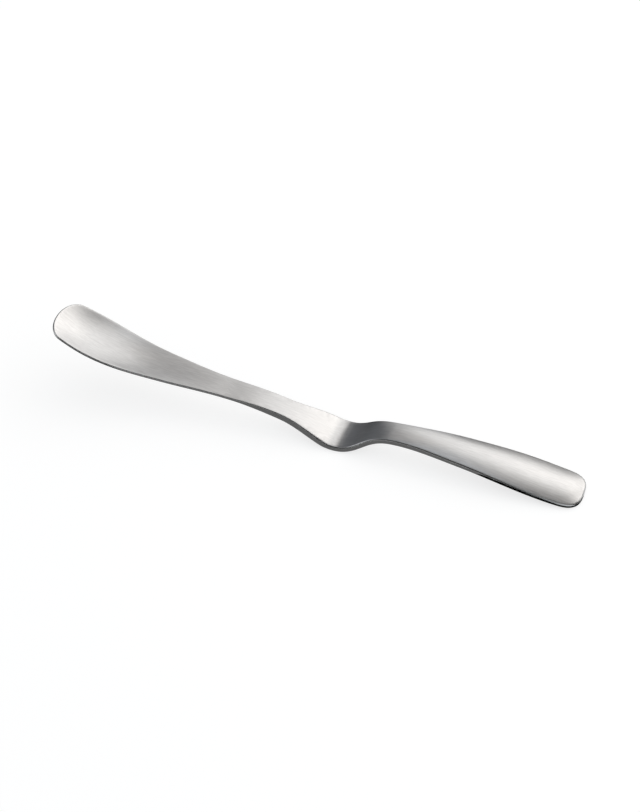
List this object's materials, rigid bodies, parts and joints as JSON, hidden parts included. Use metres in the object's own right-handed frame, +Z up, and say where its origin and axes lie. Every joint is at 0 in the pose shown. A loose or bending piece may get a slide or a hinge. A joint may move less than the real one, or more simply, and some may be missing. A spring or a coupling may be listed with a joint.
{
  "type": "jam spoon",
  "caption": "One-piece satin steel jam spoon: shallow dished blade, narrow neck, cranked dip that catches a jar rim and lifts the blade off the table, and a crowned flared handle.",
  "frame": {"origin": "on the table under the middle of the spoon's length, on its plane of symmetry", "axes": "+X from the blade tip to the handle end, +Y across the spoon, +Z up from the table that the foot of the crank and the handle end stand on"},
  "size_m": [0.1946, 0.0218, 0.027],
  "materials": {
    "satin_steel": "satin, brushed lengthwise"
  },
  "bodies": {
    "root": {"spoon_body": "satin_steel"}
  },
  "joints": []
}
